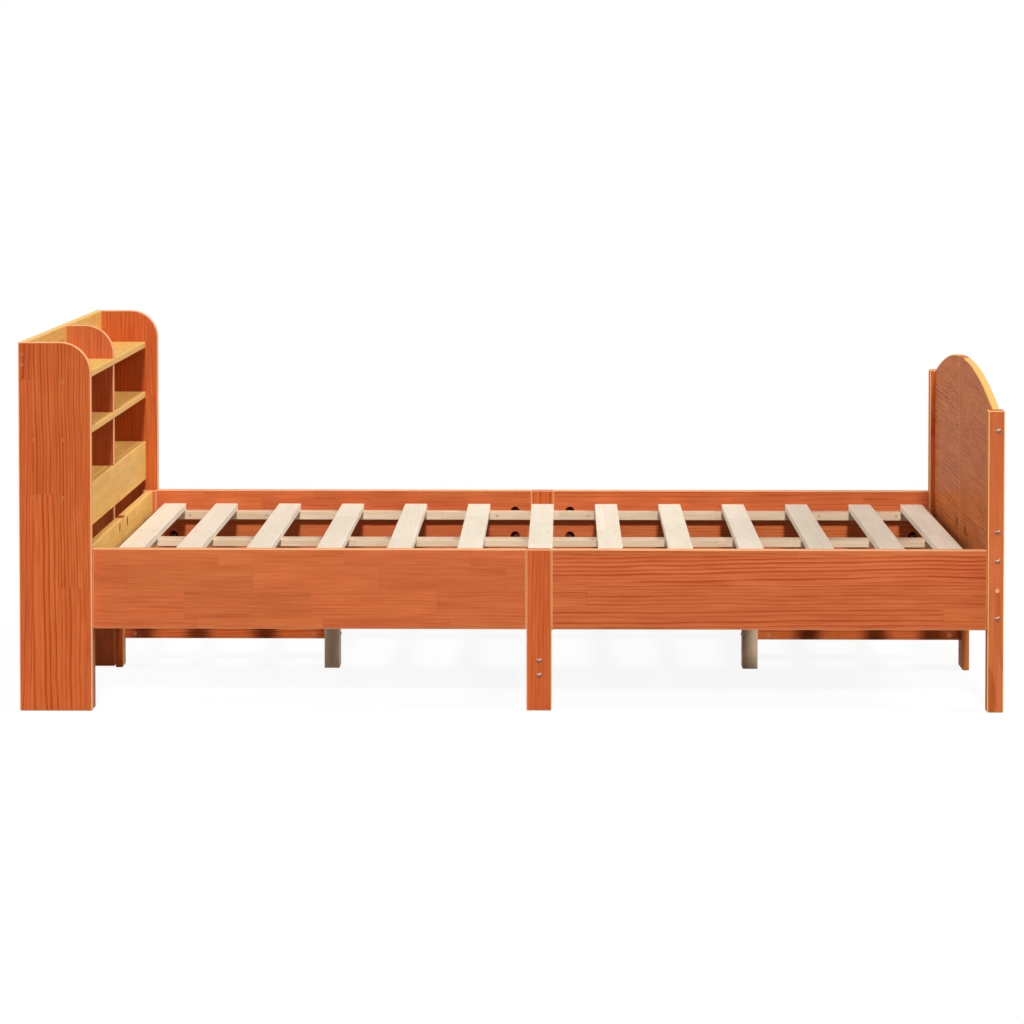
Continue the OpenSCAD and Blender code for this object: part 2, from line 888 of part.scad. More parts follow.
// Slat with eased edges and rounded corners, laid across the cleats and the centre beam
module slat(i) {
    slat_l = 2 * (well_half - slat_end_gap);
    color(natural) difference() {
        translate([slat_x(i) - slat_w / 2, -slat_l / 2, slat_z])
            intersection() {
                linear_extrude(slat_t) rounded_rect(slat_w, slat_l, slat_corner_r);
                translate([0, slat_l, 0])
                    rotate([90, 0, 0])
                        linear_extrude(slat_l) rounded_rect(slat_w, slat_t, natural_ease);
            }
        slat_screw_sites(i) screw_hole(slat_screw_l);
    }
}

// Fasteners

module frame_bolts() {
    color(steel) {
        both_sides() rail_bolt_sites() bolt(rail_tie_d, rail_bolt_l);
        both_sides() connector_sites() bolt(connector_d, connector_l);
        stretcher_end_sites() stretcher_bolt();
    }
}

module tie_sets() {
    color(steel) both_sides() {
        rail_stud_sites() cylinder(d = rail_tie_d, h = rail_stud_l, center = true, $fn = 48);
        rail_pocket_sites() translate([0, -rail_t / 2, 0]) washer_and_nut(rail_tie_d);
        head_pocket_sites() translate([0, -head_board_t / 2, 0]) washer_and_nut(bolt_d);
        foot_pocket_sites() translate([0, -foot_panel_t / 2, 0]) washer_and_nut(bolt_d);
    }
    color(steel) {
        head_stud_sites() cylinder(d = bolt_d, h = head_stud_l, center = true, $fn = 48);
        foot_stud_sites() cylinder(d = bolt_d, h = foot_stud_l, center = true, $fn = 48);
    }
}

module barrel_nuts() {
    color(steel) stretcher_end_sites() barrel_nut();
}

module case_screws() {
    color(steel) both_sides() {
        case_side_screw_sites() screw(screw_l);
        case_back_screw_sites() screw(screw_l);
        leg_screw_sites() screw(leg_screw_l);
    }
}

module slat_screws() {
    color(steel) {
        for (i = [1 : slat_count]) slat_screw_sites(i) screw(slat_screw_l);
        beam_screw_sites() screw(beam_screw_l);
        both_sides() cleat_screw_sites() screw(cleat_screw_l);
    }
}

module dowels() {
    color(natural) {
        both_sides() head_dowel_sites() dowel(dowel_half, dowel_half);
        both_sides() foot_dowel_site() dowel(dowel_half, post_d);
        both_sides() shelf_dowel_sites() shelf_dowel();
        post_dowel_site() dowel(dowel_half, dowel_half);
    }
}

rail_left_head();
rail_left_foot();
rail_right_head();
rail_right_foot();
mid_post_left();
mid_post_right();
foot_post_left();
foot_post_right();
foot_panel_left();
foot_panel_right();
foot_centre_leg();
head_leg_left();
head_leg_right();
head_board_left();
head_board_right();
head_centre_leg();
case_side_left();
case_side_right();
case_divider();
case_back_left();
case_back_right();
top_shelf();
middle_shelf();
low_shelf();
apron();
cleat_left_head();
cleat_left_foot();
cleat_right_head();
cleat_right_foot();
centre_beam_head();
centre_beam_foot();
support_leg_head();
support_leg_foot();
beam_post();
stretcher_head();
stretcher_foot();
cross_stretcher();
for (i = [1 : slat_count]) {
    slat(i);
}
frame_bolts();
tie_sets();
barrel_nuts();
case_screws();
slat_screws();
dowels();
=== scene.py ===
"""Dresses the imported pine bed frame, laid out as an add-on and run as a script.

Every board keeps its shape from the construction model and gets solid pine whose growth
rings, lamellas and finger joints run through it in three dimensions.
"""

import json
import math

import bpy
from bpy.props import FloatProperty, FloatVectorProperty, PointerProperty
from mathutils import Euler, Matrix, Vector

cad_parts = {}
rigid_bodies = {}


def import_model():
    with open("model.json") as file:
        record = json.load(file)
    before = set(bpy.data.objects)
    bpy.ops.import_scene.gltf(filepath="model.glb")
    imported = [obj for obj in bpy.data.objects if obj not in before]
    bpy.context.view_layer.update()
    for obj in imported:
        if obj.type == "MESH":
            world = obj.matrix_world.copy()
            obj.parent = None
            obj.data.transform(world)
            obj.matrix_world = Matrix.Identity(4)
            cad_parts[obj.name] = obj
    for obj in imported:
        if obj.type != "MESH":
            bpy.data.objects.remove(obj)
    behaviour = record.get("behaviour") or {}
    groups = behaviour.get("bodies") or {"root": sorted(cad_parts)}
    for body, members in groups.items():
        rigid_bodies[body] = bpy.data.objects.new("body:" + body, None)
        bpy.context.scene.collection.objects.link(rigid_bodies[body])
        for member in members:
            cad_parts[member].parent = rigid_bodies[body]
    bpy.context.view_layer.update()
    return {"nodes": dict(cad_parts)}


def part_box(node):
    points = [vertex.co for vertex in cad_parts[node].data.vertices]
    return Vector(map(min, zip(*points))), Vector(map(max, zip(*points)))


bl_info = {
    "name": "Pine bed frame",
    "version": (1, 0, 0),
    "blender": (4, 5, 0),
    "location": "View3D > Sidebar > Bed",
    "description": "Finishes a pine bed frame: wood, fasteners and studio",
    "category": "Object",
}

# Blender starts with a cube, a lamp and a camera of its own
for leftover in list(bpy.data.objects):
    bpy.data.objects.remove(leftover)
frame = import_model()

MM = 0.001  # a millimetre in metres


def linear(hex_code):
    """Turns an sRGB hex colour into linear red, green and blue, by the sRGB curve."""
    channels = [int(hex_code[i : i + 2], 16) / 255 for i in (1, 3, 5)]
    return tuple(
        c / 12.92 if c <= 0.04045 else ((c + 0.055) / 1.055) ** 2.4 for c in channels
    )


def add(tree, kind, settings, *inputs, **named):
    """Adds a node, sets its properties, and links or sets its inputs.

    An input is given by its place, or by its name with _ for each space.
    """
    node = tree.nodes.new("ShaderNode" + kind)
    for key, value in settings.items():
        setattr(node, key, value)
    for key, value in [*enumerate(inputs), *named.items()]:
        socket = node.inputs[key.replace("_", " ") if isinstance(key, str) else key]
        if isinstance(value, bpy.types.Node):
            value = value.outputs[0]
        if isinstance(value, bpy.types.NodeSocket):
            tree.links.new(value, socket)
        elif value is not None:
            socket.default_value = value
    return node


# Settings a user would change


class BED_PG_pine(bpy.types.PropertyGroup):
    """Colours and grain of the pine"""

    stain_early: FloatVectorProperty(
        name="Stained early wood",
        description="Colour of the wide soft part of each ring under the stain",
        subtype="COLOR",
        min=0,
        max=1,
        default=linear("#c56a3f"),
    )
    stain_late: FloatVectorProperty(
        name="Stained late wood",
        description="Colour of the narrow hard part of each ring under the stain",
        subtype="COLOR",
        min=0,
        max=1,
        default=linear("#9d421e"),
    )
    # Painted shade: colour laid on the walls of bored holes and pockets
    painted_hole_shade: FloatVectorProperty(
        name="Stained hole",
        description="Colour of the walls of bored holes and pockets",
        subtype="COLOR",
        min=0,
        max=1,
        default=linear("#5a2410"),
    )
    # Golden tones of these boards: painted sheen on the same orange stain, with real
    # rings
    golden_sheen_early: FloatVectorProperty(
        name="Honey early wood",
        description="Colour of the soft part of each ring on lightly stained boards",
        subtype="COLOR",
        min=0,
        max=1,
        default=linear("#ecbd6b"),
    )
    golden_sheen_late: FloatVectorProperty(
        name="Honey late wood",
        description="Colour of the hard part of each ring on lightly stained boards",
        subtype="COLOR",
        min=0,
        max=1,
        default=linear("#c7904b"),
    )
    case_early: FloatVectorProperty(
        name="Case early wood",
        description="Colour of the soft part of each ring on case sides and stretchers",
        subtype="COLOR",
        min=0,
        max=1,
        default=linear("#c56435"),
    )
    case_late: FloatVectorProperty(
        name="Case late wood",
        description="Colour of the hard part of each ring on case sides and stretchers",
        subtype="COLOR",
        min=0,
        max=1,
        default=linear("#9d3e18"),
    )
    # Browner foot panel tones: painted shade, a darker copy of the orange stain
    shaded_panel_early: FloatVectorProperty(
        name="Foot panel early wood",
        description="Colour of the soft part of each ring on the browner foot panels",
        subtype="COLOR",
        min=0,
        max=1,
        default=linear("#c8723a"),
    )
    shaded_panel_late: FloatVectorProperty(
        name="Foot panel late wood",
        description="Colour of the hard part of each ring on the browner foot panels",
        subtype="COLOR",
        min=0,
        max=1,
        default=linear("#7f3a10"),
    )
    # Edge colour: stain sanded thin on the eased edges, brightened as a painted
    # highlight
    sanded_edge_with_highlight: FloatVectorProperty(
        name="Sanded edge",
        description="Colour of the eased edges, where the stain is sanded thin",
        subtype="COLOR",
        min=0,
        max=1,
        default=linear("#da9c6e"),
    )
    # Golden edge colour: a painted highlight
    golden_edge_highlight: FloatVectorProperty(
        name="Honey edge",
        description="Colour of the edges of the lightly stained boards",
        subtype="COLOR",
        min=0,
        max=1,
        default=linear("#e2b165"),
    )
    slat: FloatVectorProperty(
        name="Slats",
        description="Colour of the slats, sawn from pale sapwood",
        subtype="COLOR",
        min=0,
        max=1,
        default=linear("#eadfcc"),
    )
    slat_late: FloatVectorProperty(
        name="Slat rings",
        description="Colour of the hard part of each ring of the slats",
        subtype="COLOR",
        min=0,
        max=1,
        default=linear("#decab2"),
    )
    plain_early: FloatVectorProperty(
        name="Plain early wood",
        description="Colour of the soft part of each ring of the bare cleats and beams",
        subtype="COLOR",
        min=0,
        max=1,
        default=linear("#dac4a9"),
    )
    plain_late: FloatVectorProperty(
        name="Plain late wood",
        description="Colour of the hard part of each ring of the bare cleats and beams",
        subtype="COLOR",
        min=0,
        max=1,
        default=linear("#c09e7a"),
    )
    ring: FloatProperty(
        name="Ring width",
        description="Usual distance between rings, drawn wide so that they show",
        subtype="DISTANCE",
        unit="LENGTH",
        min=0.001,
        max=0.02,
        default=9.4 * MM,
    )
    lamella: FloatProperty(
        name="Lamella length",
        description="Usual distance from one finger joint to the next",
        subtype="DISTANCE",
        unit="LENGTH",
        min=0.1,
        max=1,
        default=410 * MM,
    )


class BED_PG_studio(bpy.types.PropertyGroup):
    """Floor, lamps and camera"""

    floor: FloatVectorProperty(
        name="Floor",
        description="Colour of the floor",
        subtype="COLOR",
        min=0,
        max=1,
        default=linear("#f4f4f4"),
    )
    key: FloatProperty(
        name="Key lamp",
        description="Strength of the far lamp behind the camera",
        min=0,
        max=10,
        default=2.95,
    )
    foot_side: FloatProperty(
        name="Foot side lamp",
        description="Strength of the soft lamp beyond the foot end",
        min=0,
        max=10,
        default=2.5,
    )
    head_side: FloatProperty(
        name="Head side lamp",
        description="Strength of the soft lamp beyond the head end",
        min=0,
        max=10,
        default=2.05,
    )
    ambient: FloatProperty(
        name="Ambient light",
        description="Strength of the even light of the room",
        min=0,
        max=2,
        default=0.02,
    )
    lens: FloatProperty(
        name="Focal length",
        description="Focal length of the camera in millimetres",
        subtype="DISTANCE_CAMERA",
        min=20,
        max=300,
        default=120.836,
    )


# Materials


# Settings that many nodes share
PLUS, MINUS = {"operation": "ADD"}, {"operation": "SUBTRACT"}
TIMES, OVER = {"operation": "MULTIPLY"}, {"operation": "DIVIDE"}
TIMES_PLUS = {"operation": "MULTIPLY_ADD"}
WHOLE, REST = {"operation": "FLOOR"}, {"operation": "FRACT"}
TO_AND_FRO = {"operation": "PINGPONG"}
LARGER = {"operation": "MAXIMUM"}
LENGTH, SCALE = {"operation": "LENGTH"}, {"operation": "SCALE"}
SMOOTH = {"interpolation_type": "SMOOTHSTEP"}
BLEND = {"data_type": "RGBA"}

# Where a Mix node keeps its two colours and the mixed one
COLOUR_A, COLOUR_B, COLOUR_OUT = 6, 7, 2

# Widths of the lamellas that each board is glued from, in mm
RAIL_LAMELLA = 61.0
POST_LAMELLA = 90.0
PANEL_LAMELLA = 64.0
FOOT_LEG_LAMELLA = 58.0
CASE_LAMELLA = 57.0
BACK_LAMELLA = 68.0
SHELF_LAMELLA = 58.0
BARE_LAMELLA = 130.0

# Joints between lamellas and between their pieces
FINGER_PITCH = 7.0  # mm from one tooth of a finger joint to the next
FINGER_DEPTH = 4.0  # mm that a tooth reaches
GLUE_FAINT = 1.8  # mm from a joint at which its glue line starts to show
GLUE_DARK = 0.27  # mm from a joint at which its glue line is darkest
SIDE_LINE = 0.5  # how dark a line along a lamella is beside one across it

# Heart of the tree that a piece is cut from
HEART_NEAR = -0.1  # least distance to its side, in lamella widths
HEART_SPREAD = 2.6  # range of that distance
HEART_DEPTH = 12.0  # least depth under the middle of the board, in mm
HEART_DEPTH_SPREAD = 30.0  # range of that depth
GRAIN_SLOPE = 0.05  # range of the lean of the grain along the piece

# Growth rings
RING_SWING = 14.0  # mm that they wander
RING_CROWDING = 8.0  # mm that years of slow and fast growth shift them
RING_NARROW = 0.6  # narrowest against the usual width
RING_WIDE = 1.35  # widest against the usual width
LATE_FROM = 0.42  # share of a ring at which late wood starts
LATE_FULL = 0.88  # share of a ring at which late wood is darkest
FAINT_RING = 0.25  # contrast of the faintest ring, where the boldest has 1
FAINT_ROW = 0.35  # contrast of the rings in the faintest lamella
BOLD_ROW = 1.15  # contrast of the rings in the boldest lamella

# Noise steps for each mm along, across and through a board
WANDER_RATE = (0.0042, 0.004, 0.004)  # bends about 240 mm long
FIBRE_RATE = (0.012, 0.26, 0.26)  # streaks 4 mm apart: real fibres are too fine to show
CLOUD_RATE = (0.004, 0.035, 0.035)  # soft patches about 30 mm wide
CROWDING_RATE = 0.05  # slow and fast growth in turn, every 20 mm from the heart

# Steps that keep one board, row, piece or ring from looking like the next
BOARD_APART_ALONG = 613.0  # mm
BOARD_APART_ACROSS = 0.37  # lamella widths
ROW_APART = 7.31  # pieces
PIECE_APART = 60.0  # noise steps
RING_APART = 97.0  # rings

# Tone of the wood, from 0 for early wood to 1 for late wood
TONE_START = -0.55
FIBRE_TONE = 0.9
CLOUD_TONE = 0.8
RING_TONE = 0.8

# Brightness and hue of the pieces, where a hue of 0.5 leaves a colour as it is
DARK_PIECE = 0.95
PALE_PIECE = 1.05
JOINT_TONE = -0.09  # what a joint adds to the brightness
HUE_LOW = 0.498
HUE_HIGH = 0.503

# Eased edges, pale from stain sanded thin and a painted highlight, and bored holes,
# darkened with painted shade
FLAT = 0.99  # largest part of a surface's direction, where it still counts as flat
EDGE = 0.88  # the same, where an edge is palest, sanded and painted with a highlight
HOLE_REACH = 20.0  # mm around a place in which walls darken it with painted shade
HOLE_RAYS = 4
HOLE_DARK = 0.45  # open share at which the painted shade is darkest
HOLE_OPEN = 0.9  # open share from which it has its own colour

# Stained wood under satin lacquer
GOLDEN_SHEEN_FIGURE = 0.5  # how strongly the rings show under the golden painted sheen
SATIN_EARLY = 0.50  # roughness on early wood
SATIN_LATE = 0.40  # roughness on late wood
SATIN_IOR = 1.5
SATIN_GLOSS = 0.02  # low, because the stained wood shows hardly any highlight
SATIN_FIBRE = 0.6  # height of the fibres beside that of the rings
SATIN_BUMP = 0.25
SATIN_DEPTH = 0.12  # mm

# Bare wood
BARE_FIGURE = 0.5  # how strongly its rings show
BARE_ROUGH = 0.72
BARE_GLOSS = 0.2
BARE_FIBRE = 0.8  # height of the fibres beside that of the rings
BARE_BUMP = 0.35
BARE_DEPTH = 0.15  # mm

# Plating
PLATE_MOTTLE = 700.0  # noise steps for each metre, which give spots of 1.4 mm


def pine_tree():
    """Makes the group that turns a place in a board into its grain.

    The place is in mm, as (along, across, through). The board is glued from lamellas
    that are finger-jointed end to end. Each piece is cut at its own distance from the
    heart of its tree, so its rings show as narrower or wider stripes.
    """
    tree = bpy.data.node_groups.new("edge_glued_pine", "ShaderNodeTree")
    sockets = tree.interface
    for name, kind in [
        ("Place", "NodeSocketVector"),
        ("Lamella width", "NodeSocketFloat"),
        ("Lamella length", "NodeSocketFloat"),
        ("Ring width", "NodeSocketFloat"),
        ("Seed", "NodeSocketFloat"),
    ]:
        sockets.new_socket(name, in_out="INPUT", socket_type=kind)
    for name in ("Late wood", "Piece", "Piece hue", "Joint", "Fibre", "Cloud"):
        sockets.new_socket(name, in_out="OUTPUT", socket_type="NodeSocketFloat")
    into = tree.nodes.new("NodeGroupInput").outputs
    out = tree.nodes.new("NodeGroupOutput").inputs
    place = add(tree, "SeparateXYZ", {}, into["Place"]).outputs
    along, across, through = place["X"], place["Y"], place["Z"]
    width, length = into["Lamella width"], into["Lamella length"]

    # Which lamella, and which finger-jointed piece of it
    row_at = add(tree, "Math", OVER, across, width)
    row = add(tree, "Math", WHOLE, row_at)
    row_seed = add(tree, "Math", PLUS, row, into["Seed"])
    row_luck = add(tree, "TexWhiteNoise", {"noise_dimensions": "1D"}, W=row_seed)
    finger = add(tree, "Math", TO_AND_FRO, across, FINGER_PITCH / 2)
    steepness = 2 * FINGER_DEPTH / FINGER_PITCH
    toothed = add(tree, "Math", TIMES_PLUS, finger, steepness, along)
    piece_at = add(tree, "Math", OVER, toothed, length)
    shifted = add(tree, "Math", TIMES_PLUS, row_luck, ROW_APART, piece_at)
    piece = add(tree, "Math", WHOLE, shifted)
    cell = add(tree, "CombineXYZ", {}, row, piece, into["Seed"])
    luck = add(tree, "TexWhiteNoise", {"noise_dimensions": "3D"}, cell).outputs
    own = add(tree, "SeparateColor", {}, luck["Color"]).outputs
    apart = add(tree, "VectorMath", SCALE, luck["Color"], Scale=PIECE_APART)

    # Distance from the heart of the tree, which drifts along the piece
    in_row = add(tree, "Math", REST, row_at)
    heart = add(tree, "Math", TIMES_PLUS, own["Red"], HEART_SPREAD, HEART_NEAR)
    side_share = add(tree, "Math", PLUS, in_row, heart)
    side_on = add(tree, "Math", TIMES, side_share, width)
    lean = add(tree, "Math", MINUS, own["Blue"], 0.5)
    slope = add(tree, "Math", TIMES, lean, GRAIN_SLOPE)
    in_piece = add(tree, "Math", REST, shifted)
    run = add(tree, "Math", TIMES, in_piece, length)
    drifted = add(tree, "Math", TIMES_PLUS, slope, run, side_on)
    depth = add(tree, "Math", TIMES_PLUS, own["Green"], HEART_DEPTH_SPREAD, HEART_DEPTH)
    depth_on = add(tree, "Math", PLUS, through, depth)
    radial = add(tree, "CombineXYZ", {}, drifted, depth_on)
    radius = add(tree, "VectorMath", LENGTH, radial).outputs["Value"]
    wander = add(tree, "Mapping", {}, into["Place"], Scale=WANDER_RATE)
    wander_at = add(tree, "VectorMath", PLUS, wander, apart)
    wobble = add(tree, "TexNoise", {}, wander_at, Scale=1.0, Detail=1.5, Roughness=0.5)
    swing = add(tree, "Math", TIMES_PLUS, wobble, RING_SWING, radius)
    crowd_at = add(tree, "Math", TIMES_PLUS, radius, CROWDING_RATE, row_luck)
    one_way = {"noise_dimensions": "1D"}
    crowd = add(tree, "TexNoise", one_way, W=crowd_at, Scale=1.0, Detail=1.0)
    crowded = add(tree, "Math", TIMES_PLUS, crowd, RING_CROWDING, swing)

    # Growth rings: the hard late wood darkens slowly and stops sharply
    growth = add(
        tree, "MapRange", {}, own["Green"], To_Min=RING_NARROW, To_Max=RING_WIDE
    )
    ring_width = add(tree, "Math", TIMES, growth, into["Ring width"])
    turns = add(tree, "Math", OVER, crowded, ring_width)
    ring = add(tree, "Math", WHOLE, turns)
    ring_seed = add(tree, "Math", TIMES_PLUS, own["Red"], RING_APART, ring)
    ring_luck = add(tree, "TexWhiteNoise", {"noise_dimensions": "1D"}, W=ring_seed)
    part = add(tree, "Math", REST, turns)
    rise = add(tree, "MapRange", SMOOTH, part, From_Min=LATE_FROM, From_Max=LATE_FULL)
    drop = add(tree, "MapRange", SMOOTH, part, From_Min=1.0, From_Max=LATE_FULL)
    late = add(tree, "Math", TIMES, rise, drop)
    strength = add(tree, "Math", TIMES_PLUS, ring_luck, 1 - FAINT_RING, FAINT_RING)
    bold = add(tree, "MapRange", {}, row_luck, To_Min=FAINT_ROW, To_Max=BOLD_ROW)
    in_row_late = add(tree, "Math", TIMES, late, bold)
    late_wood = add(tree, "Math", TIMES, in_row_late, strength)

    # Fine fibres and wide soft clouds
    thread = add(tree, "Mapping", {}, into["Place"], Scale=FIBRE_RATE)
    thread_at = add(tree, "VectorMath", PLUS, thread, apart)
    fibre = add(tree, "TexNoise", {}, thread_at, Scale=1.0, Detail=2.0, Roughness=0.6)
    haze = add(tree, "Mapping", {}, into["Place"], Scale=CLOUD_RATE)
    haze_at = add(tree, "VectorMath", PLUS, haze, apart)
    cloud = add(tree, "TexNoise", {}, haze_at, Scale=1.0, Detail=2.0, Roughness=0.5)

    # Glue lines: between pieces, and fainter between lamellas
    half_width = add(tree, "Math", TIMES, width, 0.5)
    from_side = add(tree, "Math", TO_AND_FRO, across, half_width)
    from_end_share = add(tree, "Math", TO_AND_FRO, shifted, 0.5)
    from_end = add(tree, "Math", TIMES, from_end_share, length)
    line = {"From_Min": GLUE_FAINT, "From_Max": GLUE_DARK}
    end_line = add(tree, "MapRange", {}, from_end, **line)
    side_line = add(tree, "MapRange", {}, from_side, **line, To_Max=SIDE_LINE)
    joint = add(tree, "Math", LARGER, end_line, side_line)
    for name, socket in [
        ("Late wood", late_wood.outputs[0]),
        ("Piece", luck["Value"]),
        ("Piece hue", own["Blue"]),
        ("Joint", joint.outputs[0]),
        ("Fibre", fibre.outputs[0]),
        ("Cloud", cloud.outputs[0]),
    ]:
        tree.links.new(socket, out[name])
    return tree


def board_seed(node):
    """Number that gives each board its own cut of pine."""
    return float(sorted(frame["nodes"]).index(node) + 1)


def grain(tree, node, axes, lamella_width, stave=1.0):
    """Adds the grain of one board whose length, width and thickness lie along axes.

    Its pieces are as long as the usual ones times stave.
    """
    pine = bpy.context.scene.bed_pine
    coordinates = add(tree, "TexCoord", {}).outputs["Object"]
    in_mm = add(tree, "VectorMath", SCALE, coordinates, Scale=1 / MM)
    split = add(tree, "SeparateXYZ", {}, in_mm).outputs
    turned = add(tree, "CombineXYZ", {}, *[split[axis] for axis in axes])
    seed = board_seed(node)
    low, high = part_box(node)
    thickness = "XYZ".index(axes[2])
    middle = (low[thickness] + high[thickness]) / 2 / MM
    shift_across = seed * BOARD_APART_ACROSS * lamella_width
    offset = (seed * BOARD_APART_ALONG, shift_across, -middle)
    place = add(tree, "VectorMath", PLUS, turned, offset)
    board = tree.nodes.new("ShaderNodeGroup")
    board.node_tree = bpy.data.node_groups.get("edge_glued_pine") or pine_tree()
    tree.links.new(place.outputs[0], board.inputs["Place"])
    board.inputs["Lamella width"].default_value = lamella_width
    board.inputs["Lamella length"].default_value = stave * pine.lamella / MM
    board.inputs["Ring width"].default_value = pine.ring / MM
    board.inputs["Seed"].default_value = seed
    return board.outputs


def edge_mask_for_wear_and_highlight(tree, through):
    """Adds a mask that is 1 on the edges of a board, or on the eased edges of a post.

    A post has no axis through its thickness, because its sides are all alike. The mask
    lays on the pale edge colour: stain sanded thin together with a painted highlight.
    """
    normal = add(tree, "NewGeometry", {}).outputs["Normal"]
    size = add(tree, "VectorMath", {"operation": "ABSOLUTE"}, normal)
    parts = add(tree, "SeparateXYZ", {}, size).outputs
    if through:
        flattest = parts[through]
    else:
        flat = add(tree, "Math", LARGER, parts["X"], parts["Y"])
        flattest = add(tree, "Math", LARGER, flat, parts["Z"])
    return add(tree, "MapRange", SMOOTH, flattest, From_Min=FLAT, From_Max=EDGE)


def hole_shade_mask(tree):
    """Adds a mask that is 1 in the open and 0 deep in holes, where it paints shade."""
    rays = {"only_local": True, "samples": HOLE_RAYS}
    sky = add(tree, "AmbientOcclusion", rays, Distance=HOLE_REACH * MM).outputs["AO"]
    return add(tree, "MapRange", SMOOTH, sky, From_Min=HOLE_DARK, From_Max=HOLE_OPEN)


def wood_colour(tree, look, early, late, figure):
    """Adds the colour of one board, whose rings show as strongly as figure says."""
    fibre = add(tree, "Math", TIMES_PLUS, look["Fibre"], FIBRE_TONE, TONE_START)
    cloud = add(tree, "Math", TIMES_PLUS, look["Cloud"], CLOUD_TONE, fibre)
    rings = {**TIMES_PLUS, "use_clamp": True}
    tone = add(tree, "Math", rings, look["Late wood"], RING_TONE * figure, cloud)
    wood = add(tree, "Mix", BLEND, tone)
    wood.inputs[COLOUR_A].default_value = (*early, 1)
    wood.inputs[COLOUR_B].default_value = (*late, 1)
    plain = wood.outputs[COLOUR_OUT]
    value = add(
        tree, "MapRange", {}, look["Piece"], To_Min=DARK_PIECE, To_Max=PALE_PIECE
    )
    jointed = add(tree, "Math", TIMES_PLUS, look["Joint"], JOINT_TONE, value)
    hue = add(tree, "MapRange", {}, look["Piece hue"], To_Min=HUE_LOW, To_Max=HUE_HIGH)
    return add(tree, "HueSaturation", {}, Hue=hue, Value=jointed, Color=plain)


def cleared(owner):
    """Turns on the nodes of a material or a world and empties their tree."""
    owner.use_nodes = True
    owner.node_tree.nodes.clear()
    return owner.node_tree


def stained_pine(node, prefix, axes, lamella_width, stave, colours, figure, square):
    """Pine, planed, wiped with an orange-brown stain and sealed with satin lacquer.

    The stain takes deeper in the hard late wood, so the rings show dark on orange. The
    eased edges read as pale lines, partly stain sanded thin and partly a painted
    highlight, and holes and pockets darken with painted shade. The lacquer is
    smoothest on the late wood and hardly shines.
    """
    material = bpy.data.materials.new(prefix + node)
    tree = cleared(material)
    *rings, edge_worn_and_lit = colours
    look = grain(tree, node, axes, lamella_width, stave)
    colour = wood_colour(tree, look, *rings, figure)
    through = "" if square else axes[2]
    # Painted highlight, with stain sanded thin: the eased edges take the pale edge
    # colour
    edge = add(tree, "Mix", BLEND, edge_mask_for_wear_and_highlight(tree, through))
    tree.links.new(colour.outputs[0], edge.inputs[COLOUR_A])
    edge.inputs[COLOUR_B].default_value = (*edge_worn_and_lit, 1)
    # Painted shade: the walls of holes and pockets darken to the hole colour
    hole_shaded = add(tree, "Mix", BLEND, hole_shade_mask(tree))
    hole_shaded.inputs[COLOUR_A].default_value = (*bpy.context.scene.bed_pine.painted_hole_shade, 1)
    tree.links.new(edge.outputs[COLOUR_OUT], hole_shaded.inputs[COLOUR_B])
    # The base colour holds the stain with its grain, the painted edge highlight and the
    # painted hole shade
    stain = hole_shaded.outputs[COLOUR_OUT]
    late = look["Late wood"]
    rough = add(tree, "MapRange", {}, late, To_Min=SATIN_EARLY, To_Max=SATIN_LATE)
    relief = add(tree, "Math", TIMES_PLUS, look["Fibre"], SATIN_FIBRE, late)
    bump = add(
        tree, "Bump", {}, Strength=SATIN_BUMP, Distance=SATIN_DEPTH * MM, Height=relief
    )
    lacquer = add(
        tree, "BsdfPrincipled", {}, Base_Color=stain, Roughness=rough, Normal=bump
    )
    lacquer.inputs["IOR"].default_value = SATIN_IOR
    lacquer.inputs["Specular IOR Level"].default_value = SATIN_GLOSS
    add(tree, "OutputMaterial", {}, lacquer)
    return material


def plain_pine(node, axes, early, late, figure):
    """Pine, sawn and planed, left bare.

    Bare pine is cream with straw-coloured rings, and nearly matt.
    """
    material = bpy.data.materials.new("plain_pine_" + node)
    tree = cleared(material)
    look = grain(tree, node, axes, BARE_LAMELLA)
    colour = wood_colour(tree, look, early, late, figure)
    relief = add(tree, "Math", TIMES_PLUS, look["Fibre"], BARE_FIBRE, look["Late wood"])
    bump = add(
        tree, "Bump", {}, Strength=BARE_BUMP, Distance=BARE_DEPTH * MM, Height=relief
    )
    bare = add(tree, "BsdfPrincipled", {}, Base_Color=colour, Normal=bump)
    bare.inputs["Roughness"].default_value = BARE_ROUGH
    bare.inputs["Specular IOR Level"].default_value = BARE_GLOSS
    add(tree, "OutputMaterial", {}, bare)
    return material


def plated_steel(name, dull, bright, rough_from, rough_to):
    """Steel, cold-headed and plated.

    The plating gives a faint mottle and a broad, soft highlight. Slat screws are a dull
    yellow. The others are bronze and brown, and hardly stand out from the stained wood.
    """
    material = bpy.data.materials.new(name)
    tree = cleared(material)
    place = add(tree, "TexCoord", {}).outputs["Object"]
    mottle = add(tree, "TexNoise", {}, place, Scale=PLATE_MOTTLE, Detail=2.0)
    mixed = add(tree, "Mix", BLEND, mottle)
    mixed.inputs[COLOUR_A].default_value = (*linear(dull), 1)
    mixed.inputs[COLOUR_B].default_value = (*linear(bright), 1)
    colour = mixed.outputs[COLOUR_OUT]
    rough = add(tree, "MapRange", {}, mottle, To_Min=rough_from, To_Max=rough_to)
    plate = add(tree, "BsdfPrincipled", {}, Base_Color=colour, Roughness=rough)
    plate.inputs["Metallic"].default_value = 1.0
    add(tree, "OutputMaterial", {}, plate)
    return material


# Dressing the pieces


def dress(node, material):
    """Gives a carried-over node its finish."""
    for holder in frame["nodes"][node].material_slots:
        holder.material = material


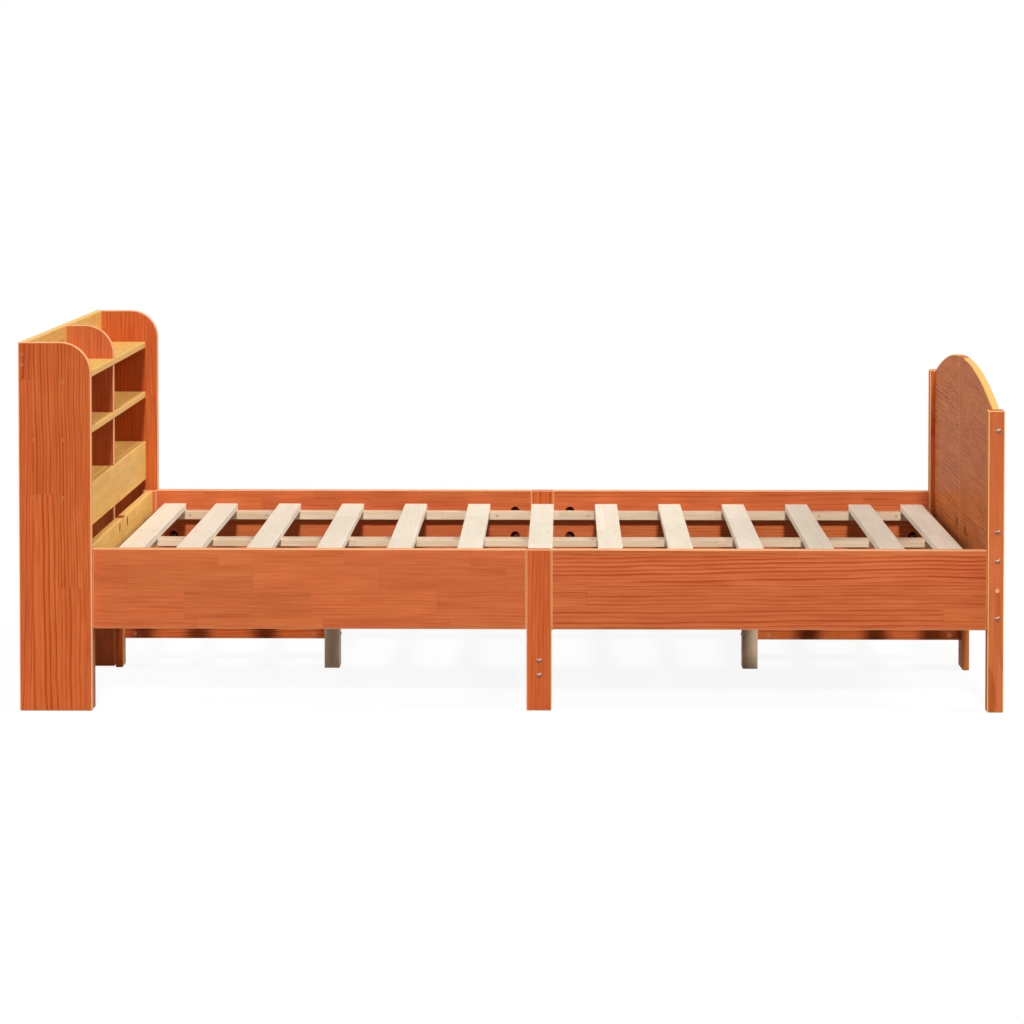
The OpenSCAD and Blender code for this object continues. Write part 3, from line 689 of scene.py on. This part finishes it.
def dress_stained(
    nodes, axes, lamella_width, figure=0.8, square=False, stave=1.0, colours=None
):
    """Gives boards the full orange-brown stain, or colours of their own.

    The colours are those of the early wood, the late wood and the edges. Some of them
    stand for painted sheen, painted shade or a painted highlight.
    """
    pine = bpy.context.scene.bed_pine
    colours = colours or (pine.stain_early, pine.stain_late, pine.sanded_edge_with_highlight)
    cut = (axes, lamella_width, stave)
    for node in nodes:
        dress(node, stained_pine(node, "stained_pine_", *cut, colours, figure, square))


def dress_golden_sheen(nodes, axes, lamella_width):
    """Gives boards a golden tone, painted sheen laid on the stain, on which the rings
    show less.
    """
    pine = bpy.context.scene.bed_pine
    colours = (pine.golden_sheen_early, pine.golden_sheen_late, pine.golden_edge_highlight)
    cut, finish = (axes, lamella_width, 1.0), (colours, GOLDEN_SHEEN_FIGURE, False)
    for node in nodes:
        dress(node, stained_pine(node, "golden_sheen_pine_", *cut, *finish))


def dress_plain(nodes, axes, sapwood=False):
    """Leaves pieces bare. Sapwood is paler and its rings hardly show."""
    pine = bpy.context.scene.bed_pine
    heartwood = (pine.plain_early, pine.plain_late)
    colours = (pine.slat, pine.slat_late) if sapwood else heartwood
    for node in nodes:
        dress(node, plain_pine(node, axes, *colours, BARE_FIGURE))


def case_stain(pine):
    """Colours of the case sides, the middle posts and the stretchers."""
    return pine.case_early, pine.case_late, pine.sanded_edge_with_highlight


class BED_OT_side_frames(bpy.types.Operator):
    """Finishes the side rails and the middle posts"""

    bl_idname = "bed.side_frames"
    bl_label = "Side frames"

    def execute(self, context):
        head_rails = ["rail_left_head", "rail_right_head"]
        foot_rails = ["rail_left_foot", "rail_right_foot"]
        dress_stained(head_rails, "XZY", RAIL_LAMELLA, figure=0.35, stave=0.7)
        dress_stained(foot_rails, "XZY", RAIL_LAMELLA, figure=1.1, stave=2.6)
        dress_stained(
            ["mid_post_left", "mid_post_right"],
            "ZXY",
            POST_LAMELLA,
            figure=1.1,
            square=True,
            stave=3.0,
            colours=case_stain(context.scene.bed_pine),
        )
        return {"FINISHED"}


class BED_OT_footboard(bpy.types.Operator):
    """Finishes the foot posts, the arched panels and the foot centre leg"""

    bl_idname = "bed.footboard"
    bl_label = "Footboard"

    def execute(self, context):
        pine = context.scene.bed_pine
        # Foot posts keep the orange stain, with the golden painted highlight on their
        # edges
        dress_stained(
            ["foot_post_left", "foot_post_right"],
            "ZYX",
            POST_LAMELLA,
            figure=1.1,
            square=True,
            stave=3.0,
            colours=(pine.stain_early, pine.stain_late, pine.golden_edge_highlight),
        )
        # Foot panels and the foot centre leg take the browner stain as painted shade
        dress_stained(
            ["foot_panel_left", "foot_panel_right"],
            "YZX",
            PANEL_LAMELLA,
            figure=1.15,
            colours=(pine.shaded_panel_early, pine.shaded_panel_late, pine.golden_edge_highlight),
        )
        dress_stained(
            ["foot_centre_leg"],
            "ZYX",
            FOOT_LEG_LAMELLA,
            figure=1.15,
            colours=(pine.shaded_panel_early, pine.shaded_panel_late, pine.shaded_panel_early),
        )
        return {"FINISHED"}


class BED_OT_headboard(bpy.types.Operator):
    """Finishes the head legs, the lower head boards and the head centre leg"""

    bl_idname = "bed.headboard"
    bl_label = "Headboard frame"

    def execute(self, context):
        pine = context.scene.bed_pine
        dress_stained(
            ["head_leg_left", "head_leg_right"], "ZYX", POST_LAMELLA, square=True
        )
        # The lower head boards take the golden painted sheen
        dress_golden_sheen(["head_board_left", "head_board_right"], "YZX", RAIL_LAMELLA)
        # Head centre leg: its X faces take the golden painted sheen, its other faces
        # the dark late stain as painted shade
        dress_stained(
            ["head_centre_leg"],
            "ZYX",
            POST_LAMELLA,
            figure=0.5,
            colours=(pine.golden_sheen_early, pine.golden_sheen_late, pine.stain_late),
        )
        return {"FINISHED"}


class BED_OT_bookcase(bpy.types.Operator):
    """Finishes the sides, the divider, the back, the shelves and the apron"""

    bl_idname = "bed.bookcase"
    bl_label = "Bookcase"

    def execute(self, context):
        case = case_stain(context.scene.bed_pine)
        for side, figure in (("case_side_left", 1.05), ("case_side_right", 0.7)):
            dress_stained(
                [side], "ZXY", CASE_LAMELLA, figure=figure, stave=3.0, colours=case
            )
        dress_stained(["case_divider"], "ZXY", CASE_LAMELLA, figure=0.6)
        # Back, apron and shelves take the golden painted sheen
        dress_golden_sheen(["case_back_left", "case_back_right"], "YZX", BACK_LAMELLA)
        dress_golden_sheen(["apron"], "YZX", RAIL_LAMELLA)
        dress_golden_sheen(["top_shelf", "middle_shelf", "low_shelf"], "YXZ", SHELF_LAMELLA)
        return {"FINISHED"}


class BED_OT_slatted_base(bpy.types.Operator):
    """Finishes the slats, the cleats, the centre beam, its legs and the stretchers"""

    bl_idname = "bed.slatted_base"
    bl_label = "Slatted base"

    def execute(self, context):
        slats = [n for n in frame["nodes"] if n.startswith("slat_") and n[5:].isdigit()]
        cleats = [n for n in frame["nodes"] if n.startswith("cleat_")]
        long_stretchers = ["stretcher_head", "stretcher_foot"]
        case = case_stain(context.scene.bed_pine)
        dress_plain(slats, "YXZ", sapwood=True)
        dress_plain(cleats, "XYZ")
        dress_plain(["centre_beam_head", "centre_beam_foot"], "XYZ")
        dress_plain(["support_leg_head", "support_leg_foot", "beam_post"], "ZYX")
        dress_stained(long_stretchers, "XZY", POST_LAMELLA, colours=case)
        dress_stained(["cross_stretcher"], "YZX", POST_LAMELLA, colours=case)
        return {"FINISHED"}


class BED_OT_fasteners(bpy.types.Operator):
    """Finishes the bolts, tie studs, nuts, screws and dowels"""

    bl_idname = "bed.fasteners"
    bl_label = "Fasteners"

    def execute(self, context):
        # Name, darker and paler colour of the mottle, least and greatest roughness
        yellow = ("yellow_passivated_steel", "#a98f76", "#c0a88e", 0.40, 0.50)
        bronze = ("bronze_plated_steel", "#9a5a3e", "#ac6c50", 0.40, 0.50)
        dark = ("dark_bronze_plated_steel", "#6f4a3c", "#a17c6c", 0.25, 0.38)
        brown = ("browned_steel", "#4a2a1c", "#5c3526", 0.55, 0.70)
        for nodes, plating in [
            (["slat_screws"], yellow),
            (["case_screws", "barrel_nuts"], bronze),
            (["frame_bolts"], dark),
            (["tie_sets"], brown),
        ]:
            steel = plated_steel(*plating)
            for node in nodes:
                dress(node, steel)
        dress_stained(["dowels"], "YXZ", POST_LAMELLA)
        return {"FINISHED"}


# Stage

# Floor, in metres from the middle of the bed
FLOOR_HALF = 9.0
FADE_FROM = 1.4  # where the floor's colour starts to turn white
WHITE_FROM = 3.2  # where it is white
FLOOR_BOUNCE = 0.4  # share of the light that it sends back to the bed
FLOOR_SHADE = 0.1  # share of the lamps' light, and so of shadows, that is seen on it

# Lamps: the way that their light runs, and the angle that they fill in degrees
KEY_AIM, KEY_ANGLE = (-0.03, 1.0, -0.61), 5.0
FOOT_AIM, FOOT_ANGLE = (-1.0, 0.12, -0.8), 30.0
HEAD_AIM, HEAD_ANGLE = (1.0, 0.0, -0.4), 40.0
LAMP_DISTANCE = 4  # where they are drawn, which doesn't change their light

# Camera, in metres and degrees, with the shift that the photograph's framing needs
CAMERA_AT = (0.12184, -8.371, 1.34296)
CAMERA_PITCH = 2.303
CAMERA_YAW = -0.8842
CAMERA_SHIFT = -0.25
SENSOR_WIDTH = 36.0  # mm
SEEN_FROM = 0.1
SEEN_TO = 60.0


def sun(name, aim, angle, strength):
    """Adds a far lamp whose light runs along aim; a wide angle gives soft shadows."""
    data = bpy.data.lights.new(name, "SUN")
    data.energy = strength
    data.angle = math.radians(angle)
    obj = bpy.data.objects.new(name, data)
    bpy.context.scene.collection.objects.link(obj)
    obj.location = -LAMP_DISTANCE * Vector(aim)
    obj.rotation_euler = Vector(aim).to_track_quat("-Z", "Y").to_euler()


def seen_directly(tree):
    """Adds a mask that is 1 for rays from the camera, a mirror or glass."""
    path = add(tree, "LightPath", {}).outputs
    seen = add(tree, "Math", LARGER, path["Is Camera Ray"], path["Is Glossy Ray"])
    return add(tree, "Math", LARGER, seen, path["Is Transmission Ray"])


def floor_paint(colour):
    """Matt paint, rolled.

    It reads as one even pale tone that keeps the bed's soft shadow and turns to white
    farther off. Its light on the bed is that of a plain grey floor.
    """
    paint = bpy.data.materials.new("painted_floor")
    tree = cleared(paint)
    bounce, shade = ((share, share, share, 1) for share in (FLOOR_BOUNCE, FLOOR_SHADE))
    matt = add(tree, "BsdfDiffuse", {}, bounce)
    place = add(tree, "TexCoord", {}).outputs["Object"]
    away = add(tree, "VectorMath", LENGTH, place).outputs["Value"]
    fade = add(tree, "MapRange", {}, away, From_Min=FADE_FROM, From_Max=WHITE_FROM)
    dim = add(tree, "BsdfDiffuse", {}, shade)
    glow = add(tree, "Emission", {}, (*colour, 1), 1.0)
    near = add(tree, "AddShader", {}, dim, glow)
    far = add(tree, "Emission", {}, (1, 1, 1, 1), 1.0)
    shown = add(tree, "MixShader", {}, fade, near, far)
    blend = add(tree, "MixShader", {}, seen_directly(tree), matt, shown)
    add(tree, "OutputMaterial", {}, blend)
    return paint


class BED_OT_stage(bpy.types.Operator):
    """Adds the floor, the lamps, the room's light and the camera"""

    bl_idname = "bed.stage"
    bl_label = "Studio"

    def execute(self, context):
        studio = context.scene.bed_studio
        mesh = bpy.data.meshes.new("floor")
        corners = [(-1, -1), (1, -1), (1, 1), (-1, 1)]
        points = [(x * FLOOR_HALF, y * FLOOR_HALF, 0) for x, y in corners]
        mesh.from_pydata(points, [], [(0, 1, 2, 3)])
        floor = bpy.data.objects.new("floor", mesh)
        context.scene.collection.objects.link(floor)
        mesh.materials.append(floor_paint(studio.floor))

        room = bpy.data.worlds.new("room")
        context.scene.world = room
        tree = cleared(room)
        even = add(tree, "Background", {}, (1, 1, 1, 1), studio.ambient)
        white = add(tree, "Background", {}, (1, 1, 1, 1), 1.0)
        blend = add(tree, "MixShader", {}, seen_directly(tree), even, white)
        add(tree, "OutputWorld", {}, blend)

        sun("key", KEY_AIM, KEY_ANGLE, studio.key)
        sun("foot_side", FOOT_AIM, FOOT_ANGLE, studio.foot_side)
        sun("head_side", HEAD_AIM, HEAD_ANGLE, studio.head_side)

        eye = bpy.data.cameras.new("camera")
        eye.lens = studio.lens
        eye.sensor_width = SENSOR_WIDTH
        eye.shift_y = CAMERA_SHIFT
        eye.clip_start, eye.clip_end = SEEN_FROM, SEEN_TO
        camera = bpy.data.objects.new("camera", eye)
        context.scene.collection.objects.link(camera)
        camera.location = CAMERA_AT
        tilt, turn = math.radians(90 - CAMERA_PITCH), math.radians(-CAMERA_YAW)
        camera.rotation_euler = Euler((tilt, 0.0, turn))
        context.scene.camera = camera
        context.scene.view_settings.view_transform = "Standard"
        return {"FINISHED"}


# Panel, registration and the run


class BED_PT_panel(bpy.types.Panel):
    """Lists the steps in the order in which they are run"""

    bl_label = "Pine bed frame"
    bl_idname = "BED_PT_panel"
    bl_space_type = "VIEW_3D"
    bl_region_type = "UI"
    bl_category = "Bed"

    def draw(self, context):
        column = self.layout.column()
        for group in (context.scene.bed_pine, context.scene.bed_studio):
            for name in group.__annotations__:
                column.prop(group, name)
        for step in STEPS:
            column.operator(step.bl_idname)


STEPS = (
    BED_OT_stage,
    BED_OT_side_frames,
    BED_OT_footboard,
    BED_OT_headboard,
    BED_OT_bookcase,
    BED_OT_slatted_base,
    BED_OT_fasteners,
)
CLASSES = (BED_PG_pine, BED_PG_studio, *STEPS, BED_PT_panel)


def register():
    """Makes the classes and their settings known to Blender."""
    for cls in CLASSES:
        bpy.utils.register_class(cls)
    bpy.types.Scene.bed_pine = PointerProperty(type=BED_PG_pine)
    bpy.types.Scene.bed_studio = PointerProperty(type=BED_PG_studio)


def unregister():
    """Takes back what register did."""
    del bpy.types.Scene.bed_studio
    del bpy.types.Scene.bed_pine
    for cls in reversed(CLASSES):
        bpy.utils.unregister_class(cls)


def main():
    """Runs every step in order."""
    register()
    for step in STEPS:
        group, name = step.bl_idname.split(".")
        getattr(getattr(bpy.ops, group), name)()


if __name__ == "__main__":
    main()
